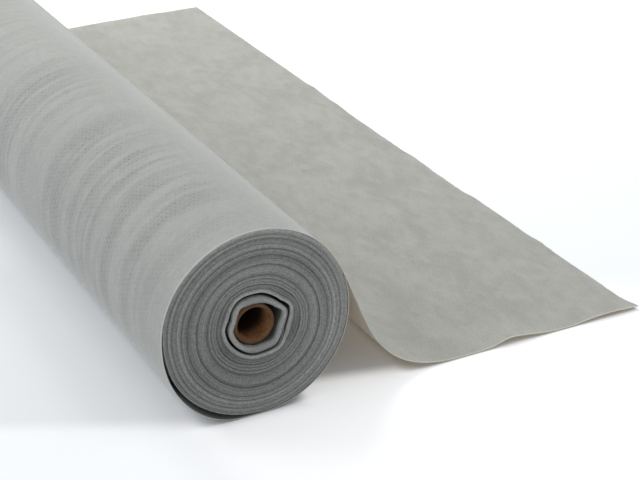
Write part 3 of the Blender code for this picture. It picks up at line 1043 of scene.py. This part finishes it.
shape = bmesh.new()
bmesh.ops.create_grid(shape, x_segments=1, y_segments=1, size=FLOOR_REACH)
bmesh.ops.translate(shape, verts=shape.verts, vec=(0, 0, -FLOOR_BELOW))
floor = as_object(shape, "floor")
floor_material, chain, shader = new_finish(
    "floor",
    {"Base Color": FLOOR_COLOUR, "Roughness": 0.9, "Specular IOR Level": 0.0, "Emission Color": WHITE},
)
floor.data.materials.append(floor_material)
print("floor:", 2 * FLOOR_REACH, "m wide")

# %% [markdown]
# The floor looks almost white, but shadows still lie on it. So it glows a little. The camera alone
# sees that glow, and it sends no light to the object. Soft masks paint light in front of the near
# end with more glow, and paint shade on the left and under the drop with less. Ambient occlusion
# takes the glow away where cloth lies close above the floor, which paints a shadow there.

# %% Glow of the floor
FLOOR_GLOW = 0.14
# painted light in front of the near end, painted shade on the left and under the drop
FRONT_GLOW = 0.32
LEFT_GLOW = -0.14
DROP_GLOW = -0.075
COVERED_WITHIN = 0.014  # cloth this close above the floor takes the glow away, a painted shadow
BEFORE_ROLL = (0.5, -0.97, -1.03)  # a line's slope, and where its mask starts and is full
BEFORE_DROP = (0.24, -0.891, -0.938)
BEFORE_TAIL = (0.05, -0.78, -0.970)
BEFORE_FAR_END = (0.0, 1.02, 0.98)
ROLL_LINE_TURNS_AT = -0.03  # x where the line before the roll starts to slant
FRONT = ((0.13, -0.5, 0.0), 0.29)  # middle and reach
LEFT = ((-0.14, -0.28, 0.0), 0.26)

seen = chain.node("ShaderNodeLightPath").outputs["Is Camera Ray"]
floor_place = chain.node("ShaderNodeTexCoord").outputs["Object"]
at_floor = chain.parts(floor_place)
past_roll = chain.span(at_floor["X"], 0.2 * ROLL_RADIUS, 0.6 * ROLL_RADIUS)
past_drop = chain.span(at_floor["X"], 0.9 * TOUCH_X, 1.15 * TOUCH_X)


def before_line(place, slope, behind, before):
    """1 in front of a line that slants across the floor; its two sides are in half widths."""
    slanted = chain.math("MULTIPLY_ADD", place, slope, at_floor["Y"])
    return chain.span(slanted, behind * HALF_WIDTH, before * HALF_WIDTH)


def near_place(place, reach):
    """1 round a place on the floor, and 0 from the reach on."""
    off = chain.vector("DISTANCE", floor_place, place)["Value"]
    return chain.span(off, reach, 0.5 * reach)


beside_roll = chain.math("MINIMUM", chain.math("SUBTRACT", at_floor["X"], ROLL_LINE_TURNS_AT), 0.0)
before_roll = before_line(beside_roll, *BEFORE_ROLL)
before_drop = chain.product(before_line(at_floor["X"], *BEFORE_DROP), past_roll)
before_tail = before_line(at_floor["X"], *BEFORE_TAIL)
near_drop = chain.math("MAXIMUM", before_roll, before_drop)
before_both = chain.product(near_drop, chain.rest(past_drop))
in_front = chain.math("ADD", before_both, chain.product(before_tail, past_drop))
front = chain.product(in_front, near_place(*FRONT))
on_left = chain.span(at_floor["X"], -0.8 * ROLL_RADIUS, -1.5 * ROLL_RADIUS)
left = chain.product(on_left, chain.rest(before_roll), near_place(*LEFT))
short_of_touch = chain.span(at_floor["X"], 1.15 * TOUCH_X, 0.5 * TOUCH_X)
before_far_end = before_line(0.0, *BEFORE_FAR_END)
under_drop = chain.product(past_roll, short_of_touch, chain.rest(near_drop), before_far_end)
# Painted light in front, painted shade on the left and under the drop, and a painted shadow under cloth
# that lies close above.
glow = FLOOR_GLOW
for share, change in ((front, FRONT_GLOW), (left, LEFT_GLOW), (under_drop, DROP_GLOW)):
    glow = chain.math("MULTIPLY_ADD", share, change, glow)
above = chain.node("ShaderNodeAmbientOcclusion", {"Distance": COVERED_WITHIN}, samples=8).outputs["AO"]
glow = chain.product(glow, seen, chain.span(above, 0.3, 0.75))
chain.feed(shader.inputs["Emission Strength"], glow)
print("glow of the floor:", len(chain.tree.nodes), "nodes")

# %% [markdown]
# Most of the light comes from the whole sky, which the camera sees as plain white. A wide lamp
# behind the roll makes the far part of the sheet brighter than the near part, and a weaker, cooler
# one lights the left side.

# %% Sky and lamps
SKY = 0.63
SKY_COLOUR = (0.965, 0.985, 1.0, 1.0)
BACK_COLOUR = (0.985, 1.0, 0.945)
LEFT_COLOUR = (0.88, 0.91, 1.0)

world = bpy.data.worlds.new("studio")
bpy.context.scene.world = world
world.use_nodes = True
chain = Chain(world.node_tree)
background = world.node_tree.nodes["Background"]
seen = chain.node("ShaderNodeLightPath").outputs["Is Camera Ray"]
chain.feed(background.inputs["Color"], chain.mix(seen, SKY_COLOUR, WHITE))
chain.feed(background.inputs["Strength"], chain.math("MULTIPLY_ADD", seen, 1 - SKY, SKY))


def lamp(name, place, target, size, power, colour):
    light = bpy.data.lights.new(name, "AREA")
    light.shape = "DISK"
    light.size = size
    light.energy = power
    light.color = colour
    made = bpy.data.objects.new(name, light)
    bpy.context.scene.collection.objects.link(made)
    made.location = place
    made.rotation_mode = "QUATERNION"
    made.rotation_quaternion = (Vector(target) - Vector(place)).to_track_quat("-Z", "Y")


lamp("back", (0.3, 1.5, 1.7), (0.1, 0.1, 0.0), size=1.4, power=29, colour=BACK_COLOUR)
lamp("left", (-1.5, 0.9, 1.4), (0.0, 0.0, 0.07), size=1.2, power=11.5, colour=LEFT_COLOUR)

# %% [markdown]
